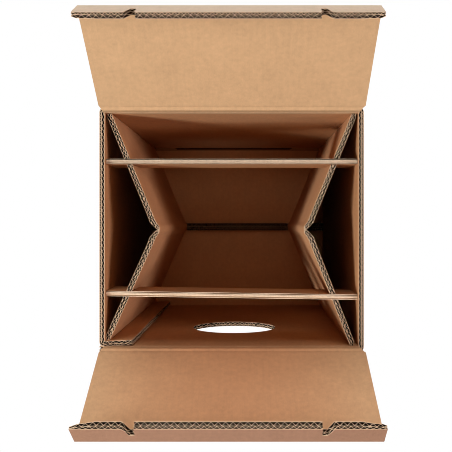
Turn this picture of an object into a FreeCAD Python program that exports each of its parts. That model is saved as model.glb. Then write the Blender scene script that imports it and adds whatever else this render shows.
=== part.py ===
"""Bottle shipping box of double wall corrugated board, open at the top.

One folded blank makes the walls, the glued bottom flaps and the two lid flaps with their
creased lips. Two folded side inserts and two cross straps, slotted into each other, make
the bottle cells. Lengths are in millimetres, +Y is the back, and the origin is the middle
of the underside.
"""

import FreeCAD, Part
import math
import os
import Sketcher

SIZES = {
    # Board and box
    "board": 6.5,
    "liner": 0.55,
    "fine_share": 0.41,
    "fine_pitch": 6.3,
    "coarse_pitch": 7.3,
    "flute_web": 0.7,
    "flute_depth": 3.0,
    "inner_width": 317.0,
    "inner_depth": 292.0,
    "inner_height": 475.0,
    "corner_radius": 6.0,
    "crease_inset": 5.0,
    "fit": 0.3,
    # Lid flaps and their lips
    "hinge_offset": 0.3,
    "crease_gap": 0.4,
    "lid_gap": 0.5,
    "flap_seam": 2.8,
    "flap_front_angle": 61.0,
    "flap_back_angle": 52.0,
    "chamfer_width": 5.0,
    "chamfer_length": 7.0,
    "lip_height": 28.0,
    "lip_flare": 1.5,
    "lip_front_spring_angle": 18.5,
    "lip_back_spring_angle": 21.5,
    "lip_crush_length": 9.0,
    "lip_crush_depth": 3.5,
    "notch_reach": 99.0,
    "notch_floor": 6.0,
    "notch_slant": 6.5,
    "notch_level": 14.0,
    "notch_radius": 2.0,
    # Bottom, glue flap, hand hole and low slit
    "floor_seam": 0.25,
    "floor_seam_foot": 1.0,
    "floor_notch_floor": 11.5,
    "floor_notch_slant": 8.0,
    "glue_flap_width": 34.0,
    "glue_flap_drop": 1.5,
    "glue_flap_flare": 1.6,
    "hole_radius": 60.0,
    "hole_drop": 177.0,
    "slit_reach": 98.0,
    "slit_level": 22.0,
    "slit_hook": 16.0,
    "slit_width": 1.5,
    "slit_depth": 2.0,
    # Side inserts
    "insert_drop": 6.5,
    "insert_lean": 2.3,
    "insert_gap": 0.5,
    "insert_front_shift": 2.3,
    "insert_depth": 68.0,
    "nose_half": 7.0,
    "neck_side": 6.0,
    "neck_half": 11.0,
    "shoulder_side": 8.5,
    "shoulder_half": 18.5,
    "crease_board": 3.0,
    "crease_side": 12.6,
    "crease_half": 9.0,
    "end_width": 4.7,
    # Cross straps
    "strap_height": 70.0,
    "strap_back_y": 85.5,
    "strap_front_y": 82.7,
    "strap_front_skew_angle": 0.85,
    "strap_end_gap": 0.5,
    "slot_gap": 0.5,
}


class Length:
    """A size that knows both its value and the sheet formula that it stands for."""

    def __init__(self, value, text):
        self.value = float(value)
        self.text = str(text)

    def __add__(self, other):
        other = as_length(other)
        return Length(self.value + other.value, f"({self.text} + {other.text})")

    def __sub__(self, other):
        other = as_length(other)
        return Length(self.value - other.value, f"({self.text} - {other.text})")

    def __mul__(self, other):
        other = as_length(other)
        return Length(self.value * other.value, f"({self.text} * {other.text})")

    def __truediv__(self, other):
        other = as_length(other)
        return Length(self.value / other.value, f"({self.text} / {other.text})")

    def __neg__(self):
        return Length(-self.value, f"(0 - {self.text})")


def as_length(value):
    return value if isinstance(value, Length) else Length(value, value)


def root(length):
    return Length(math.sqrt(length.value), f"sqrt({length.text})")


def sine(angle):
    return Length(math.sin(math.radians(angle.value)), f"sin({angle.text})")


def cosine(angle):
    return Length(math.cos(math.radians(angle.value)), f"cos({angle.text})")


def tangent(angle):
    return sine(angle) / cosine(angle)


def arctangent(ratio):
    return Length(math.degrees(math.atan(ratio.value)), f"(atan({ratio.text}) / 1 deg)")


def whole(number):
    return Length(math.floor(number.value), f"floor({number.text})")


def make_sheet(doc):
    """Writes the driving sizes to the sheet and returns them as Length values."""
    sheet = doc.addObject("Spreadsheet::Sheet", "sizes")
    for row, (name, value) in enumerate(SIZES.items(), start=1):
        sheet.set(f"A{row}", name)
        sheet.set(f"B{row}", str(value))
        sheet.setAlias(f"B{row}", name)
    doc.recompute()
    return {name: Length(sheet.get(name), f"sizes.{name}") for name in SIZES}


def make_body(doc, name):
    body = doc.addObject("PartDesign::Body", name)
    body.Label = name
    return body


def make_sketch(body, name, role, offset=None):
    """A sketch on one of the body's own planes, moved along the plane's normal by offset."""
    sketch = body.newObject("Sketcher::SketchObject", name)
    plane = next(o for o in body.Origin.OriginFeatures if o.Role == role)
    sketch.AttachmentSupport = [(plane, "")]
    sketch.MapMode = "FlatFace"
    if offset is not None:
        sketch.AttachmentOffset.Base.z = offset.value
        sketch.setExpression("AttachmentOffset.Base.z", offset.text)
    return sketch


def bind(sketch, kind, first, second, value):
    """Adds one dimension between a point and the sketch's origin, tied to the sheet."""
    index = sketch.addConstraint(Sketcher.Constraint(kind, -1, 1, first, second, value.value))
    name = f"size{index}"
    sketch.renameConstraint(index, name)
    sketch.setExpression(f"Constraints.{name}", value.text)


def add_polygon(sketch, corners):
    """Adds a closed outline whose corners are pairs of Length values."""
    corners = [(as_length(x), as_length(y)) for x, y in corners]
    points = [FreeCAD.Vector(x.value, y.value, 0) for x, y in corners]
    count = len(points)
    start = sketch.GeometryCount
    for i in range(count):
        sketch.addGeometry(Part.LineSegment(points[i], points[(i + 1) % count]))
    for i in range(count):
        following = start + (i + 1) % count
        sketch.addConstraint(Sketcher.Constraint("Coincident", start + i, 2, following, 1))
    for i, (x, y) in enumerate(corners):
        bind(sketch, "DistanceX", start + i, 1, x)
        bind(sketch, "DistanceY", start + i, 1, y)


def add_rectangle(sketch, low_x, low_y, high_x, high_y):
    add_polygon(sketch, [(low_x, low_y), (high_x, low_y), (high_x, high_y), (low_x, high_y)])


def add_circle(sketch, x, y, radius):
    centre = FreeCAD.Vector(x.value, y.value, 0)
    circle = sketch.addGeometry(Part.Circle(centre, FreeCAD.Vector(0, 0, 1), radius.value))
    bind(sketch, "DistanceX", circle, 3, x)
    bind(sketch, "DistanceY", circle, 3, y)
    index = sketch.addConstraint(Sketcher.Constraint("Radius", circle, radius.value))
    sketch.renameConstraint(index, "radius")
    sketch.setExpression("Constraints.radius", radius.text)


def pad(body, name, sketch, length, symmetric=False):
    feature = body.newObject("PartDesign::Pad", name)
    feature.Profile = sketch
    feature.Length = length.value
    feature.setExpression("Length", length.text)
    if symmetric:
        feature.SideType = "Symmetric"
    return feature


def pocket(body, name, sketch, length=None, reverse=False, symmetric=False):
    """Cuts by a stated depth, or right through both ways where no depth is given."""
    before = body.Tip.Shape.Volume
    feature = body.newObject("PartDesign::Pocket", name)
    feature.Profile = sketch
    if length is None:
        feature.Type = "ThroughAll"
        feature.SideType = "Symmetric"
    else:
        feature.Length = length.value
        feature.setExpression("Length", length.text)
        feature.Reversed = reverse
        if symmetric:
            feature.SideType = "Symmetric"
    body.Document.recompute()
    if feature.Shape.Volume >= before:
        raise RuntimeError(f"{body.Label}: {name} cuts nothing")
    return feature


def fillet(body, name, radius, along, wanted):
    """Rounds the straight edges that run along an axis and whose ends satisfy wanted."""
    base = body.Tip
    edges = []
    for i, edge in enumerate(base.Shape.Edges, start=1):
        ends = [vertex.Point for vertex in edge.Vertexes]
        if len(ends) != 2 or not all(wanted(end) for end in ends):
            continue
        if (ends[1] - ends[0]).cross(along).Length < 1e-4:
            edges.append(f"Edge{i}")
    if not edges:
        raise RuntimeError(f"{body.Label}: {name} finds no edge")
    feature = body.newObject("PartDesign::Fillet", name)
    feature.Base = (base, edges)
    feature.Radius = radius.value
    feature.setExpression("Radius", radius.text)
    body.Document.recompute()
    return feature


def flute_layers(s):
    """Both fluted layers from the board's outside: where they lie in it, and their pitch."""
    liner = s["liner"]
    room = s["board"] - liner * 3
    middle = liner + room * s["fine_share"]
    return [
        ("fine", liner, middle, s["fine_pitch"]),
        ("coarse", middle + liner, s["board"] - liner, s["coarse_pitch"]),
    ]


def open_flutes(body, s, name, role, offset, start, angle, span, inward, reverse=False):
    """Opens the flutes of both layers along a raw edge, as one cell repeated at the pitch.

    The row begins at start on the board's outside face and runs at an angle in the plane;
    inward is +1 where the board lies to the left of it and -1 where it lies to the right.
    """
    web = s["flute_web"]
    for layer, low, high, pitch in flute_layers(s):
        sketch = make_sketch(body, f"{name}_{layer}_cell", role, offset)
        sketch.AttachmentOffset = FreeCAD.Placement(
            FreeCAD.Vector(start[0].value, start[1].value, offset.value),
            FreeCAD.Rotation(FreeCAD.Vector(0, 0, 1), angle.value),
        )
        sketch.setExpression("AttachmentOffset.Base.x", start[0].text)
        sketch.setExpression("AttachmentOffset.Base.y", start[1].text)
        sketch.setExpression("AttachmentOffset.Rotation.Angle", angle.text)
        rise = (high - low) * (-web * 2 / pitch + 1)
        half = pitch / 2
        add_polygon(
            sketch,
            [
                (web, low * inward),
                (pitch - web, low * inward),
                (half, (low + rise) * inward),
            ],
        )
        add_polygon(
            sketch,
            [
                (half + web, high * inward),
                (half + pitch - web, high * inward),
                (pitch, (high - rise) * inward),
            ],
        )
        cell = pocket(body, f"{name}_{layer}_flute", sketch, s["flute_depth"], reverse)
        count = whole((span - half) / pitch)
        row = body.newObject("PartDesign::LinearPattern", f"{name}_{layer}_flutes")
        row.Originals = [cell]
        row.Direction = (sketch, ["H_Axis"])
        row.Mode = "Spacing"
        row.Offset = pitch.value
        row.setExpression("Offset", pitch.text)
        row.Refine = False
        row.Occurrences = int(count.value)
        row.setExpression("Occurrences", count.text)
        body.Tip = row
        body.Document.recompute()


def close_to(value, target):
    return abs(value - target) < 1e-4


def turn_about_x(body, y, z, angle, side):
    """Places a body at a crease line; side is +1 at the front and -1 at the back."""
    axis = FreeCAD.Vector(side, 0, 0)
    body.Placement = FreeCAD.Placement(
        FreeCAD.Vector(0, y.value, z.value), FreeCAD.Rotation(axis, angle.value)
    )
    body.setExpression("Placement.Base.y", y.text)
    body.setExpression("Placement.Base.z", z.text)
    body.setExpression("Placement.Rotation.Angle", angle.text)


def make_box_body(doc, s):
    """Four walls, glued bottom flaps with standing lips, and the glue flap: one sheet."""
    board = s["board"]
    half_width = s["inner_width"] / 2
    half_depth = s["inner_depth"] / 2
    outer_x = half_width + board
    outer_y = half_depth + board
    rim = board + s["inner_height"]
    body = make_body(doc, "box_body")

    sketch = make_sketch(body, "sleeve_section", "XY_Plane", board)
    add_rectangle(sketch, -outer_x, -outer_y, outer_x, outer_y)
    add_rectangle(sketch, -half_width, -half_depth, half_width, half_depth)
    pad(body, "sleeve", sketch, s["inner_height"])
    doc.recompute()
    fillet(
        body,
        "sleeve_corners",
        s["corner_radius"],
        FreeCAD.Vector(0, 0, 1),
        lambda p: close_to(abs(p.x), outer_x.value) and close_to(abs(p.y), outer_y.value),
    )

    # The front and back walls rise past the rim to the lid creases, mitred towards them.
    crease = rim + board + s["lid_gap"] - s["crease_gap"]
    sketch = make_sketch(body, "crease_section", "YZ_Plane")
    for side in (-1, 1):
        add_polygon(
            sketch,
            [
                (outer_y * side, rim - board),
                (half_depth * side, rim - board),
                (half_depth * side, crease - board),
                (outer_y * side, crease),
            ],
        )
    pad(body, "crease_edges", sketch, (outer_x - s["crease_inset"]) * 2, symmetric=True)

    # The bottom flaps meet at the middle seam, and their lips stand up inside the box.
    seam = s["floor_seam"]
    lip_top = s["lip_height"]
    half_section = [
        (outer_y, as_length(0)),
        (outer_y, board),
        (seam + board, board),
        (seam + board, lip_top),
        (seam, lip_top),
        (seam, s["floor_seam_foot"]),
    ]
    sketch = make_sketch(body, "bottom_section", "YZ_Plane")
    add_polygon(sketch, half_section + [(-y, z) for y, z in reversed(half_section)])
    pad(body, "bottom_flaps", sketch, outer_x * 2, symmetric=True)
    doc.recompute()
    fillet(
        body,
        "bottom_creases",
        s["corner_radius"] * 0.75,
        FreeCAD.Vector(1, 0, 0),
        lambda p: close_to(p.z, 0) and close_to(abs(p.y), outer_y.value),
    )

    # The bottom lips are notched for the noses of the side inserts.
    inner = nose_reach(s) + s["insert_lean"] - s["slot_gap"]
    outer = inner + s["floor_notch_floor"]
    sketch = make_sketch(body, "bottom_lip_notches", "XZ_Plane")
    for side in (-1, 1):
        add_polygon(
            sketch,
            [
                (inner * side, board),
                (outer * side, board),
                ((outer + s["floor_notch_slant"]) * side, lip_top),
                ((outer + s["floor_notch_slant"]) * side, lip_top + board),
                (inner * side, lip_top + board),
            ],
        )
    pocket(body, "lip_notches", sketch, (seam + board) * 2 + s["fit"], symmetric=True)

    # The glue flap continues the left wall and laps the inside of the front wall.
    sketch = make_sketch(body, "glue_flap_section", "XY_Plane", board)
    flap_end = -(half_width - s["glue_flap_width"])
    add_polygon(
        sketch,
        [
            (-half_width, -half_depth),
            (flap_end, -(half_depth - s["glue_flap_flare"])),
            (flap_end, -(half_depth - board - s["glue_flap_flare"])),
            (-half_width, -(half_depth - board)),
        ],
    )
    pad(body, "glue_flap", sketch, s["inner_height"] - s["glue_flap_drop"])
    doc.recompute()

    # Round hand hole through the front wall.
    sketch = make_sketch(body, "hand_hole_edge", "XZ_Plane", half_depth - board)
    add_circle(sketch, as_length(0), rim - s["hole_drop"], s["hole_radius"])
    pocket(body, "hand_hole", sketch, board * 3, reverse=True)

    # A shallow cut with turned-up ends, low on the inside of the back wall.
    level = board + s["slit_level"]
    reach = s["slit_reach"]
    width = s["slit_width"]
    hook = s["slit_hook"]
    sketch = make_sketch(body, "low_slit_edge", "XZ_Plane", -half_depth)
    add_polygon(
        sketch,
        [
            (-reach - hook / 2, level + hook),
            (-reach, level),
            (reach, level),
            (reach + hook / 2, level + hook),
            (reach + hook / 2 - width, level + hook),
            (reach - width, level + width),
            (-(reach - width), level + width),
            (-(reach + hook / 2 - width), level + hook),
        ],
    )
    pocket(body, "low_slit", sketch, s["slit_depth"])

    # The raw top edges of the side walls and of the glue flap show the flutes.
    for hand, name in ((-1, "left_rim"), (1, "right_rim")):
        start = (outer_x * hand, -half_depth)
        turn = as_length(90)
        open_flutes(body, s, name, "XY_Plane", rim, start, turn, half_depth * 2, hand)
    turn = arctangent(s["glue_flap_flare"] / s["glue_flap_width"])
    start = (-half_width, -half_depth)
    drop = rim - s["glue_flap_drop"]
    span = s["glue_flap_width"] - s["liner"]
    open_flutes(body, s, "glue_flap", "XY_Plane", drop, start, turn, span, 1)
    return body


def flap_length(s):
    """From the lid crease to the fold of the lip."""
    return s["inner_depth"] / 2 + s["board"] + s["hinge_offset"] - s["flap_seam"]


def hinge_line(s):
    """How far out and how high the lid creases lie."""
    outward = s["inner_depth"] / 2 + s["board"] + s["hinge_offset"]
    height = s["board"] + s["inner_height"] + s["board"] + s["lid_gap"]
    return outward, height


def make_lid_flap(doc, s, name, side, open_angle):
    """A lid flap, drawn flat from its crease with its inside down, then swung open."""
    board = s["board"]
    gap = s["crease_gap"]
    length = flap_length(s)
    outer_x = s["inner_width"] / 2 + board
    body = make_body(doc, name)
    sketch = make_sketch(body, "flap_section", "YZ_Plane")
    add_polygon(
        sketch,
        [
            (gap * side, 0),
            ((length - gap) * side, 0),
            ((length - gap - board) * side, -board),
            ((gap + board) * side, -board),
        ],
    )
    pad(body, "panel", sketch, outer_x * 2, symmetric=True)
    doc.recompute()
    sketch = make_sketch(body, "crease_corners", "XY_Plane")
    for hand in (-1, 1):
        add_polygon(
            sketch,
            [
                ((outer_x - s["chamfer_width"]) * hand, 0),
                ((outer_x + board) * hand, 0),
                ((outer_x + board) * hand, s["chamfer_length"] * side),
                (outer_x * hand, s["chamfer_length"] * side),
            ],
        )
    pocket(body, "crease_corner_cuts", sketch)
    outward, height = hinge_line(s)
    turn_about_x(body, outward * -side, height, -open_angle + 180, side)
    return body


def make_tuck_lip(doc, s, name, side, open_angle, spring):
    """A lid flap's lip, drawn flat from its fold, then folded in, less its spring-back."""
    board = s["board"]
    gap = s["crease_gap"]
    lip = s["lip_height"]
    outer_x = s["inner_width"] / 2 + board
    end_x = outer_x + s["lip_flare"]
    body = make_body(doc, name)
    sketch = make_sketch(body, "lip_section", "YZ_Plane")
    add_polygon(
        sketch,
        [(gap * side, 0), (lip * side, 0), (lip * side, -board), ((gap + board) * side, -board)],
    )
    pad(body, "strip", sketch, end_x * 2, symmetric=True)
    doc.recompute()
    reach = end_x - s["lip_crush_length"]
    start = (-reach, as_length(0))
    level = as_length(0)
    open_flutes(
        body, s, "edge", "XZ_Plane", lip * -side, start, level, reach * 2, -1, reverse=side > 0
    )

    sketch = make_sketch(body, "end_and_notch_outline", "XY_Plane")
    inner = s["notch_reach"]
    outer = inner + s["notch_floor"]
    for hand in (-1, 1):
        add_polygon(
            sketch,
            [
                (outer_x * hand, 0),
                ((end_x + board) * hand, 0),
                ((end_x + board) * hand, lip * side),
                (end_x * hand, lip * side),
            ],
        )
        add_polygon(
            sketch,
            [
                (inner * hand, s["notch_level"] * side),
                (outer * hand, s["notch_level"] * side),
                ((outer + s["notch_slant"]) * hand, lip * side),
                ((outer + s["notch_slant"]) * hand, (lip + board) * side),
                (inner * hand, (lip + board) * side),
            ],
        )
    pocket(body, "ends_and_notches", sketch)
    level = s["notch_level"].value * side
    fillet(
        body,
        "notch_corners",
        s["notch_radius"],
        FreeCAD.Vector(0, 0, 1),
        lambda p: close_to(p.y, level),
    )

    # The cut ends are pressed thin towards the outside face.
    sketch = make_sketch(body, "crushed_ends", "XZ_Plane")
    for hand in (-1, 1):
        add_polygon(
            sketch,
            [
                ((end_x - s["lip_crush_length"]) * hand, -board),
                ((end_x + board) * hand, -board * 2),
                ((end_x + board) * hand, s["lip_crush_depth"] - board),
                (end_x * hand, s["lip_crush_depth"] - board),
            ],
        )
    pocket(body, "end_crush", sketch)

    outward, height = hinge_line(s)
    length = flap_length(s)
    y = length * cosine(open_angle) + outward
    z = height + length * sine(open_angle)
    turn_about_x(body, y * -side, z, -open_angle + 90 + spring, side)
    return body


def insert_end(s, side, hand):
    """Where a leg ends: its depth, and its reach at the top; hand is +1 at the back."""
    depth = s["inner_depth"] / 2 - s["fit"]
    reach = s["inner_width"] / 2 - s["insert_gap"] - s["insert_lean"]
    if hand < 0:
        reach = reach - s["insert_front_shift"] * side
        if side < 0:
            depth = depth - s["board"] - s["glue_flap_flare"] / 4
    return depth, reach


def nose_reach(s):
    """How far from the middle the blunt nose of a side insert stands, at its top."""
    return s["inner_width"] / 2 - s["insert_depth"]


def leg_slope(s, side, hand):
    """How far a leg of a side insert moves outwards for each millimetre of depth."""
    depth, reach = insert_end(s, side, hand)
    shoulder = nose_reach(s) + s["shoulder_side"]
    return (reach - s["end_width"] - shoulder) / (depth - s["shoulder_half"])


def leg_inside(s, side, hand, depth):
    """Where a leg's cell side is at a depth from the box's middle, at the insert's top."""
    start = nose_reach(s) + s["shoulder_side"]
    return start + leg_slope(s, side, hand) * (depth - s["shoulder_half"])


def leg_width(s, side, hand):
    """The board's thickness as a cut across the box shows it."""
    slope = leg_slope(s, side, hand)
    return s["board"] * root(slope * slope + 1)


def strap_depths(s, side):
    """Depths of the two straps where they cross the insert on one side."""
    crossing = leg_inside(s, side, -1, s["strap_front_y"]) + s["board"] / 2
    swing = crossing * tangent(s["strap_front_skew_angle"]) * side
    return s["strap_back_y"], s["strap_front_y"] + swing


def insert_outline(s, side, at_foot):
    """The closed outline of a side insert, at its foot or at its top."""
    nose = nose_reach(s) + (s["insert_lean"] if at_foot else as_length(0))
    shoulder = nose + s["shoulder_side"]

    def leg(hand):
        """Half of the outline, from the nose to one end, as cell side and wall side."""
        depth, edge = insert_end(s, side, hand)
        if at_foot:
            edge = s["inner_width"] / 2 - s["insert_gap"]
        end = edge - s["end_width"]
        run = depth - s["shoulder_half"]
        slope = (end - shoulder) / run
        width = s["board"] * root(slope * slope + 1)
        clip = s["shoulder_half"] + (edge - shoulder - width) / slope
        cell_side = [
            (nose, s["nose_half"] * hand),
            (nose + s["neck_side"], s["neck_half"] * hand),
            (shoulder, s["shoulder_half"] * hand),
            (end, depth * hand),
        ]
        wall_side = [
            (edge, depth * hand),
            (edge, clip * hand),
            (shoulder + width, s["shoulder_half"] * hand),
            (nose + s["crease_side"], s["crease_half"] * hand),
        ]
        return cell_side, wall_side

    back_cell, back_wall = leg(1)
    front_cell, front_wall = leg(-1)
    corners = back_cell + back_wall + [(nose + s["crease_board"], as_length(0))]
    corners += front_wall[::-1] + front_cell[::-1]
    return [(x * side, y) for x, y in corners]


def make_side_insert(doc, s, name, side):
    """A tall board folded to a blunt nose, pressed thin along its double crease.

    It leans: its foot stands at the box's wall, and its top is drawn in a little.
    """
    floor = s["board"]
    top = s["board"] + s["inner_height"] - s["insert_drop"]
    body = make_body(doc, name)
    foot_outline = make_sketch(body, "foot_outline", "XY_Plane", floor)
    add_polygon(foot_outline, insert_outline(s, side, at_foot=True))
    top_outline = make_sketch(body, "top_outline", "XY_Plane", top)
    add_polygon(top_outline, insert_outline(s, side, at_foot=False))
    fold = body.newObject("PartDesign::AdditiveLoft", "fold")
    fold.Profile = foot_outline
    fold.Sections = [top_outline]
    fold.Ruled = True
    doc.recompute()

    # The raw top edge of each leg shows the flutes, from the creased nose to the end.
    for hand, leg_name in ((-1, "front_leg"), (1, "back_leg")):
        slope = leg_slope(s, side, hand)
        depth, reach = insert_end(s, side, hand)
        start = ((nose_reach(s) + s["shoulder_side"]) * side, s["shoulder_half"] * hand)
        turn = as_length(90 * hand) - arctangent(slope) * (side * hand)
        span = (depth - s["shoulder_half"]) * root(slope * slope + 1) - s["board"]
        open_flutes(body, s, leg_name, "XY_Plane", top, start, turn, span, -side * hand)

    # Slots from the top edge take the cross straps.
    half = s["board"] / 2 + s["slot_gap"]
    slot_floor = top - s["strap_height"] / 2 - s["fit"]
    back_strap, front_strap = strap_depths(s, side)
    sketch = make_sketch(body, "strap_slots", "YZ_Plane")
    add_rectangle(sketch, back_strap - half, slot_floor, back_strap + half, top + floor)
    add_rectangle(sketch, -front_strap - half, slot_floor, -front_strap + half, top + floor)
    pocket(body, "slots", sketch)
    return body


def make_cross_strap(doc, s, name, depth, hand, skew):
    """A strap on edge across the box, notched from below over both side inserts."""
    board = s["board"]
    half_width = s["inner_width"] / 2 - s["strap_end_gap"]
    height = s["strap_height"]
    body = make_body(doc, name)
    sketch = make_sketch(body, "strap_outline", "XZ_Plane")
    reach = {}
    for side in (-1, 1):
        back_strap, front_strap = strap_depths(s, side)
        crossing = back_strap if hand > 0 else front_strap
        inner = leg_inside(s, side, hand, crossing - board / 2) - s["slot_gap"]
        outer = leg_inside(s, side, hand, crossing + board / 2) + leg_width(s, side, hand)
        reach[side] = inner, outer + s["slot_gap"] * 2
    add_polygon(
        sketch,
        [
            (-half_width, 0),
            (-reach[-1][1], 0),
            (-reach[-1][1], height / 2),
            (-reach[-1][0], height / 2),
            (-reach[-1][0], 0),
            (reach[1][0], 0),
            (reach[1][0], height / 2),
            (reach[1][1], height / 2),
            (reach[1][1], 0),
            (half_width, 0),
            (half_width, height),
            (-half_width, height),
        ],
    )
    pad(body, "strap", sketch, board, symmetric=True)
    y = depth * hand
    z = board + s["inner_height"] - s["insert_drop"] - height
    body.Placement = FreeCAD.Placement(
        FreeCAD.Vector(0, y.value, z.value), FreeCAD.Rotation(FreeCAD.Vector(0, 0, -1), skew.value)
    )
    body.setExpression("Placement.Base.y", y.text)
    body.setExpression("Placement.Base.z", z.text)
    if skew.value:
        body.setExpression("Placement.Rotation.Angle", skew.text)
    return body


def check(doc, nodes):
    """Stops where an object failed or a piece is empty or broken."""
    for item in doc.Objects:
        if "Invalid" in item.State or "Error" in item.State:
            raise RuntimeError(f"{item.Name} failed: {item.State}")
    for node in nodes:
        if node.Shape.isNull() or not node.Shape.isValid():
            raise RuntimeError(f"{node.Label} has no valid shape")


def main():
    doc = FreeCAD.newDocument("bottle_shipping_box")
    s = make_sheet(doc)
    front, back = s["flap_front_angle"], s["flap_back_angle"]
    nodes = [
        make_box_body(doc, s),
        make_lid_flap(doc, s, "top_flap_front", 1, front),
        make_lid_flap(doc, s, "top_flap_back", -1, back),
        make_tuck_lip(doc, s, "tuck_lip_front", 1, front, s["lip_front_spring_angle"]),
        make_tuck_lip(doc, s, "tuck_lip_back", -1, back, s["lip_back_spring_angle"]),
        make_side_insert(doc, s, "side_insert_left", -1),
        make_side_insert(doc, s, "side_insert_right", 1),
        make_cross_strap(doc, s, "cross_strap_back", s["strap_back_y"], 1, as_length(0)),
        make_cross_strap(
            doc, s, "cross_strap_front", s["strap_front_y"], -1, s["strap_front_skew_angle"]
        ),
    ]
    doc.recompute()
    check(doc, nodes)
    os.makedirs("parts", exist_ok=True)
    for node in nodes:
        node.Shape.exportStep(f"parts/{node.Label}.step")
        box = node.Shape.BoundBox
        print(node.Label, len(node.Shape.Solids), round(node.Shape.Volume), box)


main()
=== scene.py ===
"""Looks of the bottle shipping box: double wall board with open flutes at its cut edges.

Each board is built as three liners and two fluted layers between its two faces, so that
the cut edges show the flutes. Lengths are in millimetres until a mesh is made.
"""

import math

import bmesh
import bpy
import numpy as np
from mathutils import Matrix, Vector


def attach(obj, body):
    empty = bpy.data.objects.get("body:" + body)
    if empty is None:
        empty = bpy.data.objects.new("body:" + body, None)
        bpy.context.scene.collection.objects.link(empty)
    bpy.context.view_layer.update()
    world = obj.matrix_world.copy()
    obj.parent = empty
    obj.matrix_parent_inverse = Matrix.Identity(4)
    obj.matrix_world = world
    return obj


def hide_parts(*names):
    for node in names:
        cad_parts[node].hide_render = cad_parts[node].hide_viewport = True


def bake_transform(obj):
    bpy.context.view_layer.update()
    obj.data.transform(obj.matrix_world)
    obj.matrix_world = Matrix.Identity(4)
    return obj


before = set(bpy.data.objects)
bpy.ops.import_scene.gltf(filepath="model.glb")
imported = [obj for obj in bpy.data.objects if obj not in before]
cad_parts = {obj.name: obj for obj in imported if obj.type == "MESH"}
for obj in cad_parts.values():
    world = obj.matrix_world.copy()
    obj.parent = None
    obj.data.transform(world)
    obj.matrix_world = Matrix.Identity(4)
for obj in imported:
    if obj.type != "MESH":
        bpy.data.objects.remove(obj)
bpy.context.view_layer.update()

MM = 0.001

# The board and its two fluted layers; the finer one is towards the outer face
BOARD = 6.5
LINER = 0.41
FLUTE = 0.42
FINE_SHARE = 0.41
FINE_PITCH = 6.3
COARSE_PITCH = 7.3
SAMPLES_PER_FLUTE = 10
# How far a crest may reach into its liner, and the share of its half thickness that stays out
CREST_REACH = 0.1
CREST_SHARE = 0.8

# The sleeve: inner and outer half widths, the top of the side walls, and the hand hole
HALF_X, HALF_Y = 158.5, 146.0
OUTER_X, OUTER_Y = HALF_X + BOARD, HALF_Y + BOARD
RIM = 481.5
CREASED_RIM = RIM + 0.1
FLOOR_TOP = 6.5
CORNER_RADIUS = 6.0
CORNER_STEPS = 7
HOLE_Z, HOLE_RADIUS = 304.5, 60.0
GLUE_FLAP_WIDTH = 34.0
GLUE_FLAP_FLARE = 1.6
GLUE_GAP = 0.05

# The lid flaps and their lips
HINGE_Y, HINGE_Z = 152.8, 488.5
FLAP_LENGTH = 150.0
CREASE_GAP = 0.4
CREASE_INSET = 5.0
CREASE_HALF = OUTER_X - CREASE_INSET
CORNER_LENGTH = 7.0
LIP = 28.0
SIDE = {"front": -1, "back": 1}
OPEN = {"front": 61.0, "back": 52.0}
SPRING = {"front": 18.5, "back": 21.5}
# How far a flap's left and right edge stand in from the wall, at its crease and at its lip
EDGE_INSET = {
    "front": {-1: (2.3, 2.0), 1: (0.0, -1.4)},
    "back": {-1: (2.2, 0.8), 1: (0.2, -0.5)},
}

OUTER_FACE, INNER_FACE, CUT_EDGE, HIDDEN, PALE_GAP = range(5)


# Materials

# The colour of each paper, in linear light
COLOURS = {
    "kraft_inside": (0.56, 0.29, 0.135),
    "kraft_outside": (0.50, 0.29, 0.165),
    "cut_edge": (0.72, 0.54, 0.36),
    # Painted shade: the faces inside the flute voids are near black
    "flute_voids_painted_shade": (0.005, 0.003, 0.002),
    "kraft_insert": (0.57, 0.305, 0.15),
    # Painted shade: a darker copy of the insert kraft, for the wall side of the inserts, the floor
    # lips and the band at the foot of the back wall
    "kraft_painted_shade": (0.36, 0.18, 0.08),
    "kraft_flap_front": (0.575, 0.295, 0.146),
    # Painted light: the back flap's inside is a paler, greyer copy of the flap kraft
    "kraft_back_flap_lit": (0.60, 0.39, 0.21),
    # Painted shade: the front lip's outside is a darker copy of the outside kraft
    "kraft_front_lip_shaded": (0.405, 0.225, 0.14),
    # Painted sheen: the back lip's outside is a paler, greyer copy of the outside kraft
    "kraft_back_lip_sheen": (0.55, 0.42, 0.295),
    # Painted highlight: the straps' cut edges are far paler than the board's other cut edges
    "strap_edge": (0.95, 0.82, 0.62),
    "strap_face": (0.46, 0.24, 0.11),
    # Painted light and shade in the strap voids: pale in the coarser layer, the front strap's lit
    # and the back strap's shaded
    "strap_gap_front": (0.50, 0.36, 0.23),
    "strap_gap_back": (0.24, 0.16, 0.10),
    "strap_pale_front": (0.85, 0.72, 0.55),
    "strap_pale_back": (0.64, 0.53, 0.40),
    "shaded_edge": (0.20, 0.13, 0.08),
}
# Painted light: the front flap's inside is lighter towards its left and right ends
FLAP_END_PAINTED_LIGHT = (0.61, 0.37, 0.195)
# The painted light at the ends is full at this distance from the middle, in metres
END_DISTANCE = 1 / 6.5
RAW = {"mottle": 0.08, "fibre": 0.1, "ribs": 0, "bump": 0.3, "roughness": 0.9}


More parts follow.
